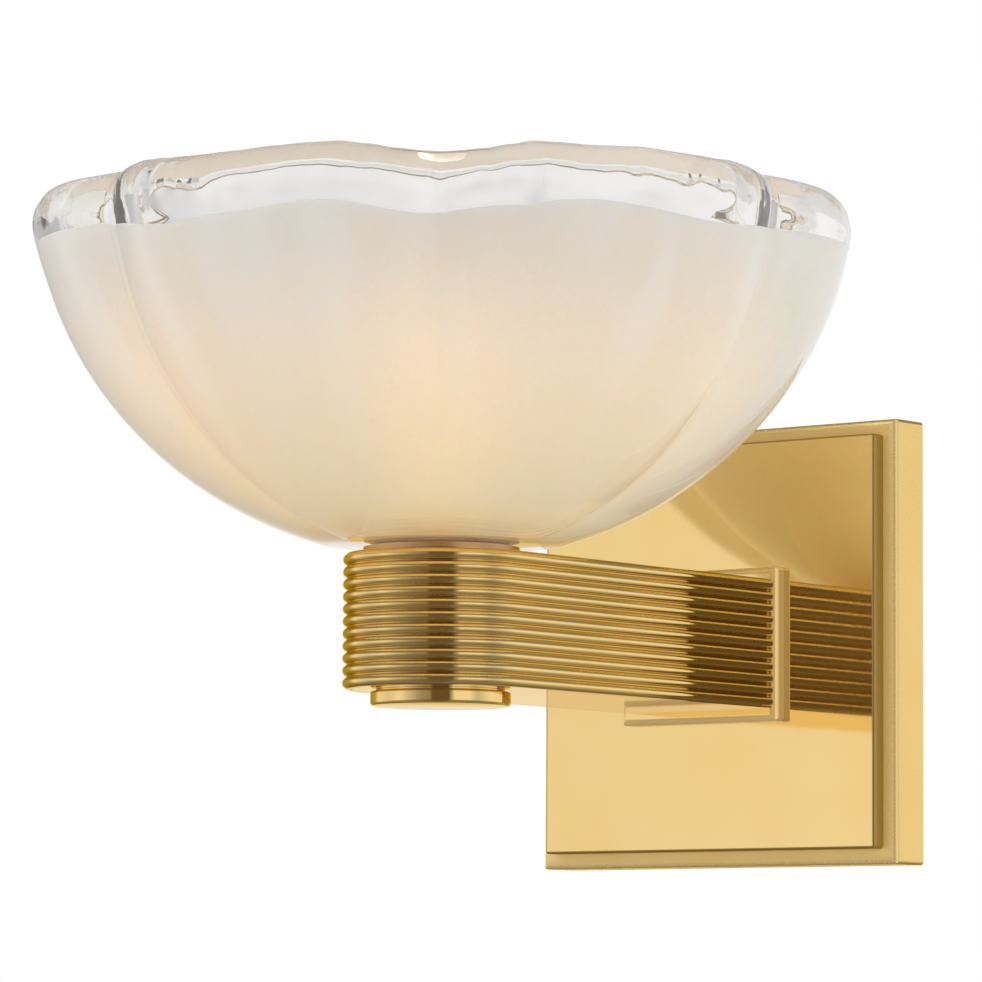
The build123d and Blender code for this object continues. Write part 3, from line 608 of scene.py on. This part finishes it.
# one level line of the wall: insetAt and levelAt give each point's depth in the wall and its height
def wallLoop(insetAt, levelAt, waveAt=0.0):
    shape = bowlShape
    points = []
    for i, angle in enumerate(wallAngles):
        inset, z = insetAt(i), levelAt(i)
        share = sin(acos(min(1.0, max(-1.0, (shape["centre"] - z) / (shape["drop"] - inset)))))
        r = lobeRadius(angle, inset, share) + flares[i] * smoothStep(z, *shape["flareSpan"])
        r -= waveAt * (0.5 + 0.5 * handWave(angle, z, shape["waveGrain"], shape["seeds"]["wave"]))
        r += seams[i] * smoothStep(z, *shape["seamSpan"]) * (1 - inset / shape["wall"])
        points.append((r * cos(angle), bowlY + r * sin(angle), z))
    return points


def holeLoop(r, z):
    return [(r * cos(angle), bowlY + r * sin(angle), z) for angle in wallAngles]


# heights down the wall, closer together where the profile bends
def profileHeights(inset, low, high, count):
    drop = bowlShape["drop"] - inset
    first = acos((bowlShape["centre"] - low) / drop)
    last = acos((bowlShape["centre"] - high) / drop)
    return [bowlShape["centre"] - drop * cos(first + (last - first) * i / (count - 1)) for i in range(count)]


# the clear glass wrinkles on its inside between the opal's edge and the rim
def insideDepth(i, z, lipShare):
    shape = bowlShape
    edge = shape["opalEdge"] + edgeLifts[i]
    wrinkle = sum(share * handWave(wallAngles[i], z, grain, seed) for share, grain, seed in shape["rippleWaves"])
    start, full = shape["rippleSpan"]
    ripple = shape["ripple"] * wrinkle * smoothStep(z, edge + start, edge + full) * lipShare
    low, high = shape["recessSpan"]
    return shape["wall"] + ripple - shape["recess"] * (1 - smoothStep(z, edge + low, edge + high))


def makeGlassBowl():
    shape, rows = bowlShape, bowlShape["rows"]
    outer = shape["rim"] - shape["lipHigh"]
    inner = shape["rim"] - shape["lipDrop"]
    floor = shape["floor"] - shape["recess"]
    land = shape["hole"] + shape["land"]
    loops = [holeLoop(shape["hole"], shape["base"]), holeLoop(land, shape["base"])]
    for z in profileHeights(0, shape["base"], outer, rows["outside"]):
        lift = smoothStep(z, shape["rimFrom"], outer)
        wave = shape["wave"] * min(1.0, (z - shape["base"]) / shape["waveFull"])
        loops.append(wallLoop(lambda i: 0.0,
                              lambda i: z + lift * (rimLifts[i] + shape["lipHigh"] - lipHeights[i]), wave))
    for step in range(1, rows["lip"] + 1):
        t = pi / 2 * step / rows["lip"]
        drawn = shape["lipOut"] * (1 - cos(t))
        loops.append(wallLoop(lambda i: drawn, lambda i: shape["rim"] - lipHeights[i] * (1 - sin(t)) + rimLifts[i],
                              shape["wave"] * (1 - step / rows["lip"])))
    for step in range(1, rows["lipInside"] + 1):
        share = step / rows["lipInside"]
        t = pi / 2 * (1 - share)
        rise = inner + shape["lipDrop"] * sin(t)
        loops.append(wallLoop(lambda i: shape["lipOut"] + (insideDepth(i, rise, share) - shape["lipOut"]) * cos(t),
                              lambda i: rise + rimLifts[i]))
    for z in profileHeights(shape["wall"], floor, inner, rows["inside"])[-2::-1]:
        lift = smoothStep(z, shape["rimFrom"], inner)
        loops.append(wallLoop(lambda i: insideDepth(i, z + lift * rimLifts[i], 1.0), lambda i: z + lift * rimLifts[i]))
    loops += [holeLoop(land, floor), holeLoop(shape["hole"], floor)]
    return skinLoops("glassBowl", loops, closeChain=True, smoothAngle=50)


def makeOpalLining():
    shape, rows = bowlShape, bowlShape["rows"]
    top = shape["opalEdge"] - shape["opalRound"]
    under = shape["floor"] - (shape["wall"] - shape["clear"])
    hole, land = shape["hole"] + shape["opalGap"], shape["hole"] + shape["land"]
    loops = [holeLoop(hole, under), holeLoop(land, under)]
    for z in profileHeights(shape["clear"], under, top, rows["opalOutside"]):
        lift = smoothStep(z, shape["edgeFrom"], top)
        loops.append(wallLoop(lambda i: shape["clear"], lambda i: z + lift * edgeLifts[i]))
    for step in range(1, rows["opalTop"]):
        t = pi * step / rows["opalTop"]
        inset = shape["clear"] + (shape["wall"] - shape["clear"]) * (0.5 - 0.5 * cos(t))
        loops.append(wallLoop(lambda i: inset, lambda i: top + shape["opalRound"] * sin(t) + edgeLifts[i]))
    for z in profileHeights(shape["wall"], shape["floor"], top, rows["opalInside"])[::-1]:
        lift = smoothStep(z, shape["edgeFrom"], top)
        loops.append(wallLoop(lambda i: shape["wall"], lambda i: z + lift * edgeLifts[i]))
    loops += [holeLoop(land, shape["floor"]), holeLoop(hole, shape["floor"])]
    return skinLoops("opalLining", loops, closeChain=True, smoothAngle=50)


settle(makeGlassBowl(), "shade", "clear_glass", finishes["clear_glass"], "glass_bowl")
settle(makeOpalLining(), "shade", "opal_glass", finishes["opal_glass"], "opal_lining")
print("bowl made")

armShape = {"half": 26.9, "top": 18.55, "rear": -22.6, "reeds": 11, "depth": 1.1, "land": 0.3, "wall": 2.4,
            "roof": 3.0, "end": 8.0, "rebate": 2.5, "ledge": 1.2, "noseSteps": 120, "sideSteps": 12,
            "reedSteps": 18}


def armLoop(half, rear, z):
    steps, runs = armShape["noseSteps"], armShape["sideSteps"]
    sides = [rear + (bowlY - rear) * i / runs for i in range(runs)]
    points = [(half, y, z) for y in sides]
    points += [(half * cos(pi * i / steps), bowlY - half * sin(pi * i / steps), z) for i in range(steps + 1)]
    return points + [(-half, y, z) for y in sides[::-1]]


def makeArm():
    shape = armShape
    groove = shape["half"] - shape["depth"]
    pitch = 2 * shape["top"] / shape["reeds"]
    chord = pitch / 2 - shape["land"] / 2
    radius = (chord ** 2 + shape["depth"] ** 2) / (2 * shape["depth"])
    spread = atan2(chord, radius - shape["depth"])
    loops = [armLoop(groove, shape["rear"], shape["top"])]
    for reed in range(shape["reeds"]):
        middle = shape["top"] - (reed + 0.5) * pitch
        for i in range(shape["reedSteps"] + 1):
            t = spread * (1 - 2 * i / shape["reedSteps"])
            half = groove + shape["depth"] - radius + radius * cos(t)
            loops.append(armLoop(half, shape["rear"], middle + radius * sin(t)))
    cavity = groove - shape["wall"]
    bottom = -shape["top"]
    inner = shape["rear"] - shape["end"]
    loops.append(armLoop(groove, shape["rear"], bottom))
    loops.append(armLoop(cavity + shape["ledge"], inner + shape["ledge"], bottom))
    loops.append(armLoop(cavity + shape["ledge"], inner + shape["ledge"], bottom + shape["rebate"]))
    loops.append(armLoop(cavity, inner, bottom + shape["rebate"]))
    loops.append(armLoop(cavity, inner, shape["top"] - shape["roof"]))
    return skinLoops("armBody", loops, smoothAngle=38)


settle(makeArm(), "fixture", "polished_brass", finishes["reed_brass"], "arm_body")

capShape = {"radius": 19.2, "top": -18.6, "step": 0.5, "stepInset": 1.6, "base": -23.0, "topRound": 0.5,
            "baseRound": 0.9, "steps": 160}


def makeCap():
    shape = capShape
    shelf = shape["top"] - shape["step"]
    profile = [(shape["radius"] - shape["stepInset"], shape["top"]), (shape["radius"] - shape["stepInset"], shelf)]
    profile += roundedCorner((shape["radius"] - shape["topRound"], shelf), (shape["radius"], shelf),
                             (shape["radius"], shelf - shape["topRound"]))
    profile += roundedCorner((shape["radius"], shape["base"] + shape["baseRound"]), (shape["radius"], shape["base"]),
                             (shape["radius"] - shape["baseRound"], shape["base"]))
    return skinLoops("bottomCap", turnedLoops(profile, shape["steps"]))


settle(makeCap(), "cap", "polished_brass", finishes["polished_brass"], "bottom_cap")

globeShape = {"radius": 9.5, "wall": 1.0, "low": 59.15, "high": 93.15, "tip": 0.2, "domeSteps": 24, "steps": 64}


def makeGlobe():
    shape = globeShape
    top = shape["high"] - shape["radius"]
    inner = shape["radius"] - shape["wall"]
    turns = [pi / 2 * i / shape["domeSteps"] for i in range(shape["domeSteps"])]
    profile = [(shape["tip"], top + inner)]  # inside tip, down the inside, round the open edge, up the outside
    profile += [(inner * cos(turn), top + inner * sin(turn)) for turn in turns[::-1]]
    profile += [(inner, shape["low"]), (shape["radius"], shape["low"])]
    profile += [(shape["radius"] * cos(turn), top + shape["radius"] * sin(turn)) for turn in turns]
    profile.append((shape["tip"], shape["high"]))
    return skinLoops("lampGlobe", turnedLoops(profile, shape["steps"]), smoothAngle=40)


settle(makeGlobe(), "lamp", "frosted_glass", finishes["frosted_glass"], "lamp_globe")
print("arm, cap and lamp globe made")

# every CAD node that still shows takes the finish of its slot
plateFinish = {"backplate_pan": "pan_brass", "front_panel": "plate_brass", "arm_collar": "collar_brass",
               "lampholder_cup": "seat_brass"}
slotOf = {part["node"]: part["material_slot"] for part in frame["record"]["subparts"]}
for name, part in frame["nodes"].items():
    part.data.materials.clear()
    part.data.materials.append(finishes[plateFinish.get(name, slotOf[name])])
print("CAD nodes finished:", len(slotOf))

cameraLook = {"place": (0.9301, -1.2819, -0.1069), "azimuth": 38.653, "elevation": -5.549, "roll": 0.34,
              "focal": 5401, "width": 982, "sensor": 36, "clip": (0.01, 50)}


def makeCamera():
    look = cameraLook
    a, e, r = radians(look["azimuth"]), radians(look["elevation"]), radians(look["roll"])
    back = Vector((sin(a) * cos(e), -cos(a) * cos(e), sin(e)))
    right = Vector((cos(a), sin(a), 0))
    up = back.cross(right)
    right, up = cos(r) * right + sin(r) * up, -sin(r) * right + cos(r) * up
    data = bpy.data.cameras.new("photoCamera")
    data.sensor_width = look["sensor"]
    data.lens = look["sensor"] * look["focal"] / look["width"]
    data.clip_start, data.clip_end = look["clip"]
    camera = bpy.data.objects.new("photoCamera", data)
    scene.collection.objects.link(camera)
    turn = Matrix((right, up, back)).transposed().to_4x4()
    camera.matrix_world = Matrix.Translation(look["place"]) @ turn
    scene.camera = camera


makeCamera()

# studio seen in brass and glass: bright walls with a warm dark gap, dimmer above and below;
# each wall stop is (degrees round from the gap to its right, level), each height stop (up share, level)
studioLook = {"ambient": 0.86, "gap": 38.66, "haze": (0.165, 0.145, 0.110), "through": 0.88, "glassHaze": 0.40,
              "glassTop": 0.80, "topSpan": (0.45, 0.75), "warmBelow": 0.45, "warmCut": (0.0, 0.4, 0.8),
              "walls": ((-180, 0.94), (-174, 0.90), (-167, 0.46), (-136, 0.46), (-123, 1.00), (-97, 0.82),
                        (-84, 0.87), (-72, 1.00), (-64, 0.90), (-56, 0.74), (-45, 0.57), (-38, 0.46), (-30, 0.38),
                        (-17, 0.33), (-13, 0.15), (14, 0.15), (18, 0.42), (24, 1.00), (50, 1.00), (57, 0.79),
                        (65, 0.68), (73, 0.78), (82, 0.90), (92, 0.99), (120, 0.98), (180, 0.94)),
              "heights": ((-1.0, 0.15), (-0.60, 0.15), (-0.25, 0.60), (-0.10, 1.0), (0.13, 1.0), (0.36, 0.20),
                          (0.70, 0.15), (1.0, 0.15))}


# a ramp from -span to span, with each stop's place as a share of the span
def levelRamp(tree, value, span, stops):
    ramp = addNode(tree, "ShaderNodeValToRGB", {"Fac": remap(tree, value, -span, span)})
    elements = ramp.color_ramp.elements
    for index, (place, colour) in enumerate(stops):
        position = place / 2 + 0.5
        stop = elements[index] if index < 2 else elements.new(position)
        stop.position = position
        stop.color = (*colour, 1)
    return ramp.outputs["Color"]


def wallColour(level):
    warm = max(0.0, 1 - level / studioLook["warmBelow"])
    return tuple(level * (1 - cut * warm) for cut in studioLook["warmCut"])


def makeStudio():
    look = studioLook
    world = bpy.data.worlds.new("studio")
    scene.world = world
    world.use_nodes = True
    tree = world.node_tree
    tree.nodes.clear()
    output = tree.nodes.new("ShaderNodeOutputWorld")
    shader = tree.nodes.new("ShaderNodeBackground")
    tree.links.new(shader.outputs[0], output.inputs["Surface"])
    way = addNode(tree, "ShaderNodeTexCoord").outputs["Generated"]
    a = radians(look["gap"])
    ahead = vectorMaths(tree, "DOT_PRODUCT", way, (sin(a), -cos(a), 0))
    aside = vectorMaths(tree, "DOT_PRODUCT", way, (cos(a), sin(a), 0))
    height = axisOf(tree, way, "Z")
    around = levelRamp(tree, maths(tree, "ARCTAN2", aside, ahead), pi,
                      [(turn / 180, wallColour(level)) for turn, level in look["walls"]])
    upward = levelRamp(tree, height, 1.0, [(share, (level,) * 3) for share, level in look["heights"]])
    path = addNode(tree, "ShaderNodeLightPath")
    through = mixColour(tree, upward, (look["glassHaze"],) * 3, around)
    through = vectorMaths(tree, "MAXIMUM", through,
                          remap(tree, height, *look["topSpan"], look["glassHaze"], look["glassTop"]))
    through = vectorMaths(tree, "MULTIPLY", through, (look["through"],) * 3)
    lit = mixColour(tree, path.outputs["Is Glossy Ray"], (look["ambient"],) * 3,
                    mixColour(tree, upward, look["haze"], around))
    lit = mixColour(tree, path.outputs["Is Transmission Ray"], lit, through)
    # light that reaches the opal through the clear glass is the room's, not one wall's
    spread = maths(tree, "GREATER_THAN", path.outputs["Diffuse Depth"], 0.5)
    lit = mixColour(tree, spread, lit, (look["ambient"],) * 3)
    tree.links.new(mixColour(tree, path.outputs["Is Camera Ray"], lit, (1, 1, 1)), shader.inputs["Color"])


makeStudio()

rigAim = Vector((0, bowlY * mm, 0.04))
lampRig = {"key": ((-0.9, -1.1, 1.1), 1.0, 9.0), "fill": ((1.3, -0.6, 0.7), 1.0, 5.0)}
for name, (place, size, power) in lampRig.items():
    light = bpy.data.lights.new(name + "Light", "AREA")
    light.size = size
    light.energy = power
    lamp = bpy.data.objects.new(name + "Light", light)
    scene.collection.objects.link(lamp)
    lamp.location = place
    lamp.rotation_euler = (rigAim - Vector(place)).to_track_quat("-Z", "Y").to_euler()
    lamp.visible_glossy = False

floorLook = {"level": -0.25, "half": 4.0, "light": (0.80, 0.80, 0.79), "deep": (0.77, 0.77, 0.76),
             "slow": 3, "fine": 400, "rough": 0.8, "shine": 0.1}


def makeFloor():
    look = floorLook
    mesh = bpy.data.meshes.new("studioFloor")
    h, z = look["half"], look["level"]
    mesh.from_pydata([(-h, -h, z), (h, -h, z), (h, h, z), (-h, h, z)], [], [(0, 1, 2, 3)])
    floor = bpy.data.objects.new("studioFloor", mesh)
    scene.collection.objects.link(floor)
    material, tree, shader = newMaterial("paleFloor")
    marks = useGroup(tree, mottle, {"Slow": look["slow"], "Fine": look["fine"]})
    tree.links.new(mixColour(tree, marks.outputs["Cloud"], look["deep"], look["light"]), shader.inputs["Base Color"])
    shader.inputs["Roughness"].default_value = look["rough"]
    shader.inputs["Specular IOR Level"].default_value = look["shine"]
    clear = tree.nodes.new("ShaderNodeBsdfTransparent")  # seen from below, the floor doesn't hide the light
    side = addNode(tree, "ShaderNodeNewGeometry").outputs["Backfacing"]
    both = tree.nodes.new("ShaderNodeMixShader")
    tree.links.new(side, both.inputs[0])
    tree.links.new(shader.outputs[0], both.inputs[1])
    tree.links.new(clear.outputs[0], both.inputs[2])
    tree.links.new(both.outputs[0], tree.nodes["Material Output"].inputs["Surface"])
    mesh.materials.append(material)
    floor.visible_glossy = False


makeFloor()
print("camera, studio and floor set")
